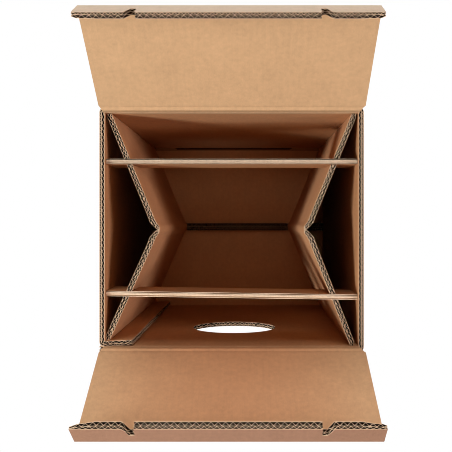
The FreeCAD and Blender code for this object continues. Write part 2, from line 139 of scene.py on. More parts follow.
def make_kraft(name, mottle=0.05, fibre=0.05, ribs=0.006, bump=0.1, roughness=0.82, shine=0.25,
               ends=None):
    """Kraft paper with fibres along the flutes, cloudy patches and the faint ribs beneath.

    Its tone may go over to another one towards the left and right ends of the sheet; on the front
    flap that is painted light, lighter at the ends.
    """
    material = bpy.data.materials.new(name)
    material.use_nodes = True
    nodes, links = material.node_tree.nodes, material.node_tree.links
    nodes.clear()
    output = nodes.new("ShaderNodeOutputMaterial")
    shader = nodes.new("ShaderNodeBsdfPrincipled")
    shader.inputs["Roughness"].default_value = roughness
    shader.inputs["Specular IOR Level"].default_value = shine
    links.new(shader.outputs["BSDF"], output.inputs["Surface"])
    place = nodes.new("ShaderNodeTexCoord")
    flat = nodes.new("ShaderNodeUVMap")
    flat.uv_map = "board"

    def noise(source, stretch, scale, detail):
        mapping = nodes.new("ShaderNodeMapping")
        mapping.inputs["Scale"].default_value = stretch
        links.new(source, mapping.inputs["Vector"])
        texture = nodes.new("ShaderNodeTexNoise")
        texture.inputs["Scale"].default_value = scale
        texture.inputs["Detail"].default_value = detail
        links.new(mapping.outputs["Vector"], texture.inputs["Vector"])
        return texture.outputs["Fac"]

    def math_node(kind, first, second):
        node = nodes.new("ShaderNodeMath")
        node.operation = kind
        for socket, value in zip(node.inputs, (first, second)):
            if isinstance(value, (int, float)):
                socket.default_value = value
            else:
                links.new(value, socket)
        return node.outputs[0]

    def varied(pattern, weight):
        return math_node("MULTIPLY", math_node("SUBTRACT", pattern, 0.5), weight)

    clouds = noise(place.outputs["Object"], (1, 1, 1), 34, 2)
    blots = noise(place.outputs["Object"], (1, 1, 1), 170, 3)
    specks = noise(flat.outputs["UV"], (1.0, 0.22, 1.0), 1500, 2)
    streaks = noise(flat.outputs["UV"], (1.0, 0.05, 1.0), 420, 2)
    split = nodes.new("ShaderNodeSeparateXYZ")
    links.new(flat.outputs["UV"], split.inputs["Vector"])
    turns_per_metre = 2 * math.pi / (COARSE_PITCH * MM)
    rib = math_node("SINE", math_node("MULTIPLY", split.outputs["X"], turns_per_metre), 0)
    amount = varied(clouds, mottle * 3)
    for pattern, weight in ((blots, mottle * 5), (specks, fibre * 4), (streaks, fibre * 2)):
        amount = math_node("ADD", amount, varied(pattern, weight))
    amount = math_node("ADD", amount, math_node("MULTIPLY", rib, ribs))
    brightness = math_node("ADD", amount, 1.0)

    tint = nodes.new("ShaderNodeVectorMath")
    tint.operation = "SCALE"
    tint.inputs[0].default_value = COLOURS[name]
    # Painted light where given: the tone goes over to the end colour towards the ends
    if ends:
        spot = nodes.new("ShaderNodeSeparateXYZ")
        links.new(place.outputs["Object"], spot.inputs["Vector"])
        distance = math_node("MULTIPLY", spot.outputs["X"], 1 / END_DISTANCE)
        share = math_node("POWER", math_node("ABSOLUTE", distance, 0), 2)
        blend = nodes.new("ShaderNodeMix")
        blend.data_type = "RGBA"
        blend.clamp_factor = True
        links.new(share, blend.inputs[0])
        blend.inputs[6].default_value = (*COLOURS[name], 1)
        blend.inputs[7].default_value = (*ends, 1)
        links.new(blend.outputs[2], tint.inputs[0])
    links.new(brightness, tint.inputs["Scale"])
    links.new(tint.outputs["Vector"], shader.inputs["Base Color"])

    relief = nodes.new("ShaderNodeBump")
    relief.inputs["Strength"].default_value = bump
    relief.inputs["Distance"].default_value = 0.4 * MM
    height = math_node("ADD", math_node("MULTIPLY", rib, 0.12), math_node("MULTIPLY", specks, 0.6))
    links.new(height, relief.inputs["Height"])
    links.new(relief.outputs["Normal"], shader.inputs["Normal"])
    return material


inside = make_kraft("kraft_inside")
outside = make_kraft("kraft_outside")
cut_edge = make_kraft("cut_edge", **RAW)
# Painted shade: near black, for the faces inside the flute voids and the dark lines of the slit and
# the foot crease
void_shade = make_kraft("flute_voids_painted_shade", roughness=0.9, shine=0.0)
insert_face = make_kraft("kraft_insert")
# Painted shade: the darker copy of the insert kraft
shaded_kraft = make_kraft("kraft_painted_shade")
flap_inside = {
    # Painted light: lighter towards the ends
    "front": make_kraft("kraft_flap_front", ends=FLAP_END_PAINTED_LIGHT),
    # Painted light: paler kraft on the back flap
    "back": make_kraft("kraft_back_flap_lit"),
}
lip_outside = {
    # Painted shade on the front lip, painted sheen on the back lip
    "front": make_kraft("kraft_front_lip_shaded"),
    "back": make_kraft("kraft_back_lip_sheen", shine=0.5, roughness=0.65),
}
# Painted highlight on the straps' cut edges
strap_edge = make_kraft("strap_edge", **RAW)
strap_face = make_kraft("strap_face")
# Painted light and shade: the front strap's voids lighter, the back strap's darker
strap_gap = {w: make_kraft(f"strap_gap_{w}", roughness=0.9) for w in OPEN}
pale_gap = {w: make_kraft(f"strap_pale_{w}", roughness=0.9) for w in OPEN}
shaded_edge = make_kraft("shaded_edge", bump=0.3, roughness=0.9)

# Each set is in the order of the kinds of face
WALL_SET = [outside, inside, cut_edge, void_shade]
# Painted shade: the floor lips take the darker kraft on both faces
FLOOR_LIP_SET = [shaded_kraft, shaded_kraft, shaded_edge, void_shade]
FLAP_SET = {w: [outside, flap_inside[w], cut_edge, void_shade] for w in OPEN}
LIP_SET = {w: [lip_outside[w], flap_inside[w], cut_edge, void_shade] for w in OPEN}
# Painted shade: the wall side of each insert takes the darker kraft
INSERT_SET = [insert_face, shaded_kraft, cut_edge, void_shade]
STRAP_SET = {w: [strap_face, strap_face, strap_edge, strap_gap[w], pale_gap[w]] for w in OPEN}


# Board geometry


def zigzag(angle):
    """A wave of height 1 with nearly straight flanks and slightly rounded crests."""
    sharpness = 0.97
    return np.arcsin(np.sin(angle) * sharpness) / math.asin(sharpness)


class Board:
    """Collects the faces of corrugated boards; the flutes run along v."""

    def __init__(self):
        self.points, self.uvs, self.faces, self.kinds = [], [], [], []

    def quad(self, corners, uvs, kind):
        start = len(self.points)
        self.points.extend(corners)
        self.uvs.extend(uvs)
        self.faces.append((start, start + 1, start + 2, start + 3))
        self.kinds.append(kind)

    def sheet(self, samples, front, back, spans, place, kinds, cuts):
        """One liner or fluted layer: front and back are depths below the outer face.

        At s, spans gives functions of s and depth for the low and high end of each stretch,
        and place puts s, depth and v in space.
        """
        inwards = 1e-5
        for first, second in zip(samples[:-1], samples[1:]):
            ends = [first + inwards, second - inwards]
            depth = [(front(s), back(s)) for s in ends]
            lists = [spans(s) for s in ends]
            for span_a, span_b in zip(*lists):
                grid = {}
                for i, (s, span) in enumerate(zip((first, second), (span_a, span_b))):
                    for j in (0, 1):
                        t = depth[i][j]
                        low, high = span(ends[i], t)
                        if high < low:
                            low = high = (low + high) / 2
                        for k, v in enumerate((low, high)):
                            grid[i, j, k] = (place(s, t, v), (s, v), (s, t))

                def face(keys, kind, flat=1):
                    self.quad([grid[k][0] for k in keys], [grid[k][flat] for k in keys], kind)

                face([(0, 0, 0), (1, 0, 0), (1, 0, 1), (0, 0, 1)], kinds[0])
                face([(1, 1, 0), (0, 1, 0), (0, 1, 1), (1, 1, 1)], kinds[1])
                face([(1, 0, 0), (0, 0, 0), (0, 1, 0), (1, 1, 0)], CUT_EDGE, 2)
                face([(0, 0, 1), (1, 0, 1), (1, 1, 1), (0, 1, 1)], CUT_EDGE, 2)
                if first in cuts:
                    face([(0, 0, 0), (0, 0, 1), (0, 1, 1), (0, 1, 0)], CUT_EDGE, 1)
                if second in cuts:
                    face([(1, 0, 0), (1, 1, 0), (1, 1, 1), (1, 0, 1)], CUT_EDGE, 1)

    def board(self, length, spans, place, breaks=(), cuts=(), thickness=None, phase=0.0,
              stretch=1.0, liner_step=None, gaps=(HIDDEN, HIDDEN)):
        """A whole board from s = 0 to length, cut at the spans' ends.

        The gaps are the kinds of face inside the finer and the coarser layer.
        """
        thick = thickness or (lambda s: BOARD)
        cuts = {0.0, float(length), *[float(c) for c in cuts]}
        marks = sorted(cuts | {float(b) for b in breaks})

        def samples(step, offset=0.0, apart=0.05):
            count = int(length / step) + 2
            wanted = {round((i + offset) * step, 6) for i in range(count)}
            wanted = {s for s in wanted if 0 < s < length and min(abs(s - m) for m in marks) > apart}
            return sorted(wanted | set(marks))

        plain = samples(liner_step) if liner_step else marks

        def middle(s):
            return LINER + max(thick(s) - 3 * LINER, 0.0) * FINE_SHARE

        def below_middle(s):
            return middle(s) + LINER

        def above_inner(s):
            return thick(s) - LINER

        for top, bottom, kinds in (
            (lambda s: 0.0, lambda s: LINER, (OUTER_FACE, gaps[0])),
            (middle, below_middle, gaps),
            (above_inner, thick, (gaps[1], INNER_FACE)),
        ):
            self.sheet(plain, top, bottom, spans, place, kinds, cuts)

        for top, bottom, pitch, gap in (
            (lambda s: LINER, middle, FINE_PITCH * stretch, gaps[0]),
            (below_middle, above_inner, COARSE_PITCH * stretch, gaps[1]),
        ):

            def wave(s, side, top=top, bottom=bottom, pitch=pitch):
                height = bottom(s) - top(s)
                slope = 2 * height / pitch
                half = min(FLUTE / 2 * math.sqrt(1 + slope * slope), height / 2)
                centre = (top(s) + bottom(s)) / 2
                sway = max(height / 2 - half * CREST_SHARE, 0.0)
                value = centre + sway * float(zigzag(2 * math.pi * s / pitch + phase)) + side * half
                return min(max(value, top(s) - CREST_REACH), bottom(s) + CREST_REACH)

            self.sheet(
                samples(pitch / SAMPLES_PER_FLUTE, 0.5),
                lambda s: wave(s, -1),
                lambda s: wave(s, 1),
                spans,
                place,
                (gap, gap),
                cuts,
            )

    def make(self, name, materials, sharp=28):
        """The collected faces as one object, welded, with edges past an angle left sharp."""
        weld, sliver = 2e-6, 1e-6
        mesh = bpy.data.meshes.new(name)
        mesh.from_pydata([tuple(c * MM for c in p) for p in self.points], [], self.faces)
        layer = mesh.uv_layers.new(name="board")
        flat = np.array(self.uvs, float).reshape(-1, 2) * MM
        layer.data.foreach_set("uv", flat.astype(np.float32).ravel())
        for material in materials:
            mesh.materials.append(material)
        mesh.polygons.foreach_set("material_index", self.kinds)
        shape = bmesh.new()
        shape.from_mesh(mesh)
        bmesh.ops.remove_doubles(shape, verts=shape.verts, dist=weld)
        bmesh.ops.dissolve_degenerate(shape, edges=shape.edges, dist=sliver)
        shape.to_mesh(mesh)
        shape.free()
        mesh.shade_smooth()
        mesh.set_sharp_from_angle(angle=math.radians(sharp))
        thing = bpy.data.objects.new(name, mesh)
        bpy.context.scene.collection.objects.link(thing)
        return thing


def polyline(points):
    """A function from distance along a polyline to a place on it, and the distances."""
    points = np.array(points, float)
    steps = np.linalg.norm(np.diff(points, axis=0), axis=1)
    marks = np.concatenate([[0], np.cumsum(steps)])

    def at(s):
        return np.array([np.interp(s, marks, points[:, k]) for k in range(points.shape[1])])

    return at, marks


def contour_of(pairs, marks):
    """Both faces of a board in plan, at a distance along it."""
    outer = np.array([a for a, b in pairs], float)
    inner = np.array([b for a, b in pairs], float)

    def contour(s):
        a = np.array([np.interp(s, marks, outer[:, k]) for k in (0, 1)])
        b = np.array([np.interp(s, marks, inner[:, k]) for k in (0, 1)])
        return a, b

    return contour


def pair_board(pairs):
    """Contours matched by the distance along their middle line."""
    middle = [((a[0] + b[0]) / 2, (a[1] + b[1]) / 2) for a, b in pairs]
    marks = [0.0]
    for i in range(1, len(pairs)):
        step = math.dist(middle[i], middle[i - 1])
        # Two pairs in one place still need a distance
        marks.append(marks[-1] + (step if step >= 1e-6 else 1e-3))
    marks = np.array(marks)
    contour = contour_of(pairs, marks)

    def thickness(s):
        a, b = contour(s)
        return float(np.linalg.norm(b - a))

    return contour, thickness, marks


def between(contours, t):
    """A point in plan at a depth below the first of two faces."""
    a, b = contours
    gap = float(np.linalg.norm(b - a)) or 1.0
    p = a + (b - a) * (t / gap)
    return float(p[0]), float(p[1])


def swing(where, pivot_y, pivot_z, angle):
    """Places flat board drawn from a crease: v runs out from the crease, t into the board."""
    c, d = math.cos(math.radians(angle)), math.sin(math.radians(angle))

    def place(s, t, v):
        return (s, SIDE[where] * (pivot_y - v * c - t * d), pivot_z + v * d - t * c)

    return place


def flap_place(where):
    """Places board in a lid flap, with v from its crease."""
    return swing(where, HINGE_Y, HINGE_Z, 180 - OPEN[where])


def lip_place(where):
    """Places board in a lip, with v from its fold."""
    opened = math.radians(OPEN[where])
    fold_y = HINGE_Y + FLAP_LENGTH * math.cos(opened)
    fold_z = HINGE_Z + FLAP_LENGTH * math.sin(opened)
    return swing(where, fold_y, fold_z, 90 - OPEN[where] + SPRING[where])


def edge_inset(where, hand, v):
    """How far one edge of a flap stands in, at a distance from its crease."""
    return float(np.interp(v, (0.0, FLAP_LENGTH), EDGE_INSET[where][hand]))


# The box: one sleeve seen as paired outer and inner points, clockwise from the glue flap


def rounded_corner(x, y, start, inner):
    """Outer points on a quarter turn about x and y, all paired with one inner point."""
    angles = [math.radians(start - 90 * i / CORNER_STEPS) for i in range(CORNER_STEPS + 1)]
    return [
        ((x + CORNER_RADIUS * math.cos(a), y + CORNER_RADIUS * math.sin(a)), inner) for a in angles
    ]


def wall_pairs():
    """The glue flap, then the left, back, right and front wall."""
    r = CORNER_RADIUS
    glue_y = -HALF_Y + GLUE_GAP
    free_x, free_y = GLUE_FLAP_WIDTH - HALF_X, glue_y + GLUE_FLAP_FLARE
    return [
        ((free_x, free_y), (free_x, free_y + BOARD)),
        ((-OUTER_X + r, glue_y), (-HALF_X + 0.5, -HALF_Y + BOARD)),
        *rounded_corner(-OUTER_X + r, -HALF_Y + r, 270, (-HALF_X, -HALF_Y + BOARD)),
        ((-OUTER_X, OUTER_Y - r), (-HALF_X, HALF_Y)),
        *rounded_corner(-OUTER_X + r, OUTER_Y - r, 180, (-HALF_X, HALF_Y)),
        ((OUTER_X - r, OUTER_Y), (HALF_X, HALF_Y)),
        *rounded_corner(OUTER_X - r, OUTER_Y - r, 90, (HALF_X, HALF_Y)),
        ((OUTER_X, -OUTER_Y + r), (HALF_X, -HALF_Y)),
        *rounded_corner(OUTER_X - r, -OUTER_Y + r, 0, (HALF_X, -HALF_Y)),
        ((-OUTER_X, -OUTER_Y), (-OUTER_X, -HALF_Y)),
    ]


def add_walls(board):
    contour, thickness, marks = pair_board(wall_pairs())
    length = float(marks[-1])
    stations = np.linspace(0, length, 20001)
    centres = np.array([sum(contour(s)) / 2 for s in stations])

    def place(s, t, v):
        return (*between(contour(s), t), v)

    def s_at_x(x, where):
        """Where the middle line passes x in the front or the back wall."""
        wall_y = SIDE[where] * (HALF_Y + BOARD / 2)
        distance = abs(centres[:, 0] - x) + abs(centres[:, 1] - wall_y)
        return float(stations[distance.argmin()])

    back = (s_at_x(-CREASE_HALF, "back"), s_at_x(CREASE_HALF, "back"))
    front = (s_at_x(CREASE_HALF, "front"), s_at_x(-CREASE_HALF, "front"))
    middle_front = s_at_x(0, "front")
    glue_end = float(marks[1])

    def foot(t):
        """Mitred against the bottom flap, and never below the ground."""
        return max(FLOOR_TOP - t, 0.0)

    def creased(q, t):
        return foot(t), CREASED_RIM + BOARD - t

    def half_chord(q):
        return math.sqrt(max(HOLE_RADIUS**2 - (q - middle_front) ** 2, 0))

    def spans(s):
        if abs(s - middle_front) < HOLE_RADIUS:
            return [
                lambda q, t: (foot(t), HOLE_Z - half_chord(q)),
                lambda q, t: (HOLE_Z + half_chord(q), CREASED_RIM + BOARD - t),
            ]
        if back[0] < s < back[1] or front[0] < s < front[1]:
            return [creased]
        if s < glue_end:
            return [lambda q, t: (FLOOR_TOP, RIM - 1.5)]
        return [lambda q, t: (FLOOR_TOP, RIM)]

    turns = range(-90, 91, 3)
    round_hole = [middle_front + HOLE_RADIUS * math.sin(math.radians(a)) for a in turns]
    board.board(
        length,
        spans,
        place,
        breaks=list(marks) + round_hole,
        cuts=[*back, *front],
        thickness=thickness,
        liner_step=40.0,
    )


def add_floor(board, lips, side):
    """A bottom flap, and its lip that stands up, with a low stretch on each side."""
    board.board(
        2 * OUTER_X,
        lambda s: [lambda q, t: (t, OUTER_Y - t)],
        lambda s, t, v: (s - OUTER_X, side * v, t),
        phase=1.0,
    )
    inner, outer, slant = 92.3, 103.8, 8.0

    def spans(s):
        x = abs(s - HALF_X)
        if inner < x < outer:
            return [lambda q, t: (BOARD - t, FLOOR_TOP)]
        if outer < x < outer + slant:
            rise = (LIP - FLOOR_TOP) / slant
            return [lambda q, t: (BOARD - t, FLOOR_TOP + (abs(q - HALF_X) - outer) * rise)]
        return [lambda q, t: (BOARD - t, LIP)]

    lips.board(
        2 * HALF_X,
        spans,
        lambda s, t, v: (s - HALF_X, side * (0.25 + t), v),
        breaks=[HALF_X + hand * x for hand in (-1, 1) for x in (inner, outer, outer + slant)],
        cuts=[HALF_X + hand * x for hand in (-1, 1) for x in (inner, outer)],
        phase=2.0 * side,
    )


def build_box():
    board, lips = Board(), Board()
    add_walls(board)
    for side in (-1, 1):
        add_floor(board, lips, side)
    thing = board.make("box_board", WALL_SET)
    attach(thing, "box")
    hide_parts("box_body")
    thing = lips.make("floor_lips", FLOOR_LIP_SET)
    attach(thing, "box")


def build_low_slit():
    """A shallow cut with turned-up ends, low on the inside of the back wall: a flat near black
    ribbon of painted shade, with a strip of cut edge below it.
    """
    reach, hook, width, level = 98.0, 16.0, 1.5, FLOOR_TOP + 22.0
    board = Board()
    line = [(-reach - hook / 2, level + hook), (-reach, level), (reach, level)]
    line += [(reach + hook / 2, level + hook)]
    y = HALF_Y - 0.06
    for (x0, z0), (x1, z1) in zip(line[:-1], line[1:]):
        # Painted shade: the near black ribbon stands for the depth of the cut
        for low, high, kind in ((0.0, width, HIDDEN), (-0.5, 0.0, CUT_EDGE)):
            corners = [(x0, y, z0 + low), (x0, y, z0 + high), (x1, y, z1 + high), (x1, y, z1 + low)]
            board.quad(corners[::-1], [(x0, low), (x0, high), (x1, high), (x1, low)][::-1], kind)
    thing = board.make("low_slit", WALL_SET)
    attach(thing, "box")


def build_foot_crease():
    """The creased fold at the foot of the back wall, in painted shade: a near black line, and before
    it a darker band for the slope, both lying flat just above the floor.
    """
    left, right, hook = -116.0, 102.0, 4.0
    dark, band = HALF_Y - 2.4, HALF_Y - 4.8
    level = FLOOR_TOP + 0.08
    board = Board()
    corners = [(left, HALF_Y), (left + hook, dark), (right - hook, dark), (right, HALF_Y)]
    # Painted shade: the near black line in the crease
    board.quad([(x, y, level + 0.02) for x, y in corners], corners, HIDDEN)
    corners = [(-HALF_X, HALF_Y), (-HALF_X, band), (HALF_X, band), (HALF_X, HALF_Y)]
    # Painted shade: the band in darker kraft
    board.quad([(x, y, level) for x, y in corners], corners, INNER_FACE)
    thing = board.make("foot_crease", FLOOR_LIP_SET)
    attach(thing, "box")


# The lid: two flaps with their lips


def build_flap(where):
    board = Board()
    place = flap_place(where)

    def spans(s):
        """The corners beside the crease are cut off at a slant."""

        def corner(q):
            return (abs(q - OUTER_X) - CREASE_HALF) / CREASE_INSET * CORNER_LENGTH

        far = FLAP_LENGTH - CREASE_GAP
        if abs(s - OUTER_X) > CREASE_HALF:
            return [lambda q, t: (max(CREASE_GAP + t, corner(q)), far - t)]
        return [lambda q, t: (CREASE_GAP + t, far - t)]

    def trimmed(s, t, v):
        x = s - OUTER_X
        if abs(x) > CREASE_HALF:
            hand = 1 if x > 0 else -1
            share = 1 - edge_inset(where, hand, v) / CREASE_INSET
            x = hand * (CREASE_HALF + (abs(x) - CREASE_HALF) * share)
        return place(x, t, v)

    breaks = [OUTER_X - CREASE_HALF, OUTER_X + CREASE_HALF]
    board.board(2 * OUTER_X, spans, trimmed, breaks=breaks)
    thing = board.make(f"flap_{where}_board", FLAP_SET[where])
    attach(thing, f"{where}_flap")
    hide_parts(f"top_flap_{where}")


def build_lip(where):
    board = Board()
    place = lip_place(where)
    end = OUTER_X + 1.5
    starts = {-1: OUTER_X, 1: OUTER_X - EDGE_INSET[where][1][1] - 0.1}
    # How much the raw edge swells inwards, as a share of its depth, and how far it rises
    swell, raised = (0.40, 0.0) if where == "front" else (0.1, 0.35)
    full_swell, run_out = HALF_X - 18.0, 15.0
    # Each notch has a floor at one level and a slanting outer side
    inner, outer, slant, level = 99.0, 105.0, 6.5, 14.0
    # The length and the depth of the crushed ends; the front left one is crushed most
    slight, strong = (5.0, 2.0), (9.0, 3.5)
    crush = {-1: strong if where == "front" else slight, 1: slight}

    def low(q, t):
        """The ends slant out from the fold."""
        start = starts[1 if q > end else -1]
        return max(CREASE_GAP + t, (abs(q - end) - start) / (end - start) * LIP)

    def spans(s):
        x = abs(s - end)
        if inner < x < outer:
            return [lambda q, t: (low(q, t), level)]
        if outer < x < outer + slant:
            rise = (LIP - level) / slant
            return [lambda q, t: (low(q, t), level + (abs(q - end) - outer) * rise)]
        return [lambda q, t: (low(q, t), LIP)]

    def thickness(s):
        crushed, depth = crush[-1 if s < end else 1]
        return BOARD - depth * min(max((abs(s - end) - (end - crushed)) / crushed, 0), 1)

    def bulged(s, t, v):
        """The raw edge swells inwards, but not over the side walls."""
        swollen = swell * min(max((full_swell + run_out - abs(s - end)) / run_out, 0), 1)
        return place(s - end, t + ((swollen + raised / BOARD) * t - raised) * v / LIP, v)

    edges = [inner, outer, outer + slant, end - strong[0], end - slight[0]]
    edges += [full_swell, full_swell + run_out]
    board.board(
        2 * end,
        spans,
        bulged,
        breaks=[end + hand * x for hand in (-1, 1) for x in (*edges, starts[hand])],
        cuts=[end + hand * inner for hand in (-1, 1)],
        thickness=thickness,
        phase=0.7 if where == "front" else 2.1,
        stretch=1.06,
    )
    thing = board.make(f"lip_{where}_board", LIP_SET[where])
    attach(thing, f"{where}_lip")
    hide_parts(f"tuck_lip_{where}")


# The inserts and the straps that cross them

# An insert in plan: its nose, where its legs begin, and the width of their crushed ends
NOSE, SHOULDER, SHOULDER_HALF = HALF_X - 68.0, HALF_X - 59.5, 18.5
END_WIDTH = 4.7
# How far its foot stands nearer to the side wall than its top, and its front leg to the right
LEAN = 2.3
FRONT_SHIFT = 2.3
INSERT_TOP = RIM - 6.5
SLOT_HALF, SLOT_DEPTH = 3.75, 35.3
# The straps; the front one is skewed and crosses each insert at this reach
STRAP_DEPTH = 70.0
STRAP_Y = {"back": 85.5, "front": -82.7}
STRAP_SKEW = {"back": 0.0, "front": -math.radians(0.85)}
STRAP_CROSSING = 129.0


def insert_leg(side, hand, lean=0.0):
    """Where a leg of an insert ends, in depth and reach, and its slope; hand +1 is the back."""
    depth = HALF_Y - 0.3
    edge = HALF_X - 0.5 - LEAN + lean
    if hand < 0:
        edge -= FRONT_SHIFT * side * (1 - lean / LEAN)
        if side < 0:
            depth -= BOARD + GLUE_FLAP_FLARE / 4
    slope = (edge - END_WIDTH - SHOULDER - lean) / (depth - SHOULDER_HALF)
    return depth, edge, slope


def strap_crossing(where, side):
    """The depth at which a strap crosses the insert on one side."""
    if where == "back":
        return STRAP_Y["back"]
    return -STRAP_Y["front"] - STRAP_CROSSING * math.tan(STRAP_SKEW["front"]) * side


def insert_pairs(side, lean):
    """Cell side and wall side of an insert's outline; the lean is 0 at its top."""
    nose, shoulder = NOSE + lean, SHOULDER + lean

    def leg(hand):
        depth, edge, slope = insert_leg(side, hand, lean)
        width = BOARD * math.sqrt(1 + slope * slope)
        run = (edge - shoulder - width) / slope
        meeting = hand * (SHOULDER_HALF + run)
        return [
            ((edge - END_WIDTH, hand * depth), (edge, hand * depth)),
            ((shoulder + slope * run, meeting), (edge, meeting)),
            ((shoulder, hand * SHOULDER_HALF), (shoulder + width, hand * SHOULDER_HALF)),
            ((nose + 5.0, hand * 10.0), (nose + 12.2, hand * 9.0)),
            ((nose + 0.7, hand * 4.2), (nose + 7.0, hand * 3.75)),
        ]

    return leg(1) + [((nose, 0.0), (nose + 3.0, 0.0))] + leg(-1)[::-1]


def build_insert(where):
    side = -1 if where == "left" else 1
    board = Board()
    contour, thickness, marks = pair_board(insert_pairs(side, 0.0))
    foot = contour_of(insert_pairs(side, LEAN), marks)

    def place(s, t, v):
        share = (INSERT_TOP - v) / (INSERT_TOP - FLOOR_TOP)
        x, y = between([top + (low - top) * share for top, low in zip(contour(s), foot(s))], t)
        return (side * x, y, v)

    stations = np.linspace(0, marks[-1], 6001)
    depths = np.array([sum(contour(s))[1] / 2 for s in stations])

    def s_at(y):
        return float(np.interp(-y, -depths, stations))

    crossings = (strap_crossing("back", side), -strap_crossing("front", side))
    slots = [(s_at(y + SLOT_HALF), s_at(y - SLOT_HALF)) for y in crossings]

    def spans(s):
        if any(low < s < high for low, high in slots):
            return [lambda q, t: (FLOOR_TOP, INSERT_TOP - SLOT_DEPTH)]
        return [lambda q, t: (FLOOR_TOP, INSERT_TOP)]

    board.board(
        float(marks[-1]),
        spans,
        place,
        breaks=list(marks),
        cuts=[edge for slot in slots for edge in slot],
        thickness=thickness,
        phase=0.4 * side,
        liner_step=4.0,
    )
    thing = board.make(f"insert_{where}_board", INSERT_SET, sharp=62)
    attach(thing, "box")
    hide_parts(f"side_insert_{where}")


def build_strap(where):
    """A board on edge; its lower half is slotted, so that it stops short of each insert."""
    board = Board()
    clear = 0.5
    reach = {}
    for side in (-1, 1):
        slope = insert_leg(side, SIDE[where])[2]
        across = strap_crossing(where, side) - SHOULDER_HALF
        width = BOARD * math.sqrt(1 + slope * slope)
        inner = SHOULDER + slope * (across - BOARD / 2) - clear
        outer = SHOULDER + slope * (across + BOARD / 2) + width + clear
        reach[side] = (inner, outer)
    end = HALF_X - clear

    def spans(s):
        if s < STRAP_DEPTH / 2:
            return [
                lambda q, t: (-end, -reach[-1][1]),
                lambda q, t: (-reach[-1][0], reach[1][0]),
                lambda q, t: (reach[1][1], end),
            ]
        return [lambda q, t: (-end, end)]

    c, d = math.cos(STRAP_SKEW[where]), math.sin(STRAP_SKEW[where])

    def place(s, t, v):
        b = BOARD / 2 - t
        return (v * c - b * d, STRAP_Y[where] + v * d + b * c, INSERT_TOP - STRAP_DEPTH + s)

    cuts = [STRAP_DEPTH / 2]
    board.board(STRAP_DEPTH, spans, place, cuts=cuts, phase=1.9, gaps=(HIDDEN, PALE_GAP))
    thing = board.make(f"strap_{where}_board", STRAP_SET[where])
    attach(thing, "box")
    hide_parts(f"cross_strap_{where}")


# Crease strips: the liners run on over each fold

STRIP_THICK = 0.35
# How far a strip lies over the board, and how far its ends are sunk into it
SKIN, SUNK = 0.06, 0.05


def strip(name, sections, reach, thick, start, end, kind, materials, closed=0.0):
    """A liner strip along X from a line of points in Y and Z, shaped over the bend between two
    bodies and fixed where it is made.

    It reaches from one X to another at each point, and its ends may be closed to a depth.
    """
    board = Board()
    at, marks = polyline(sections)
    count = max(int(marks[-1] / 0.7), 8)
    stations = np.linspace(0, marks[-1], count + 1)
    line = np.array([at(s) for s in stations])
    for _ in range(3):
        line[1:-1] = (line[:-2] + 2 * line[1:-1] + line[2:]) / 4
    along = np.gradient(line, axis=0)
    normal = np.stack([along[:, 1], -along[:, 0]], axis=1)
    normal /= np.linalg.norm(normal, axis=1)[:, None]
    far = line + normal * thick
    shut = line + normal * (closed or thick)
    left, right = (np.interp(stations, marks, [pair[k] for pair in reach]) for k in (0, 1))
    across = np.linspace(0, 1, 60)
    for i in range(count):
        s0, s1 = stations[i], stations[i + 1]
        for u0, u1 in zip(across[:-1], across[1:]):
            spots = ((u0, i), (u1, i), (u1, i + 1), (u0, i + 1))
            x0, x1, x2, x3 = ((1 - u) * left[j] + u * right[j] for u, j in spots)
            for points, flip, face in ((line, False, kind), (far, True, HIDDEN)):
                corners = [(x0, *points[i]), (x1, *points[i])]
                corners += [(x2, *points[i + 1]), (x3, *points[i + 1])]
                uvs = [(x0, s0), (x1, s0), (x1, s1), (x0, s1)]
                if flip:
                    corners, uvs = corners[::-1], uvs[::-1]
                board.quad(corners, uvs, face)
        for edge in (left, right):
            corners = [(edge[i], *line[i]), (edge[i + 1], *line[i + 1])]
            corners += [(edge[i + 1], *shut[i + 1]), (edge[i], *shut[i])]
            board.quad(corners, [(0, 0), (0, 1), (1, 1), (1, 0)], kind if closed else CUT_EDGE)
    thing = board.make(name, materials)
    ends = [(0, y * MM, z * MM) for y, z in (start, end)]
    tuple(ends[0])
    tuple(ends[1])
    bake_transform(thing)


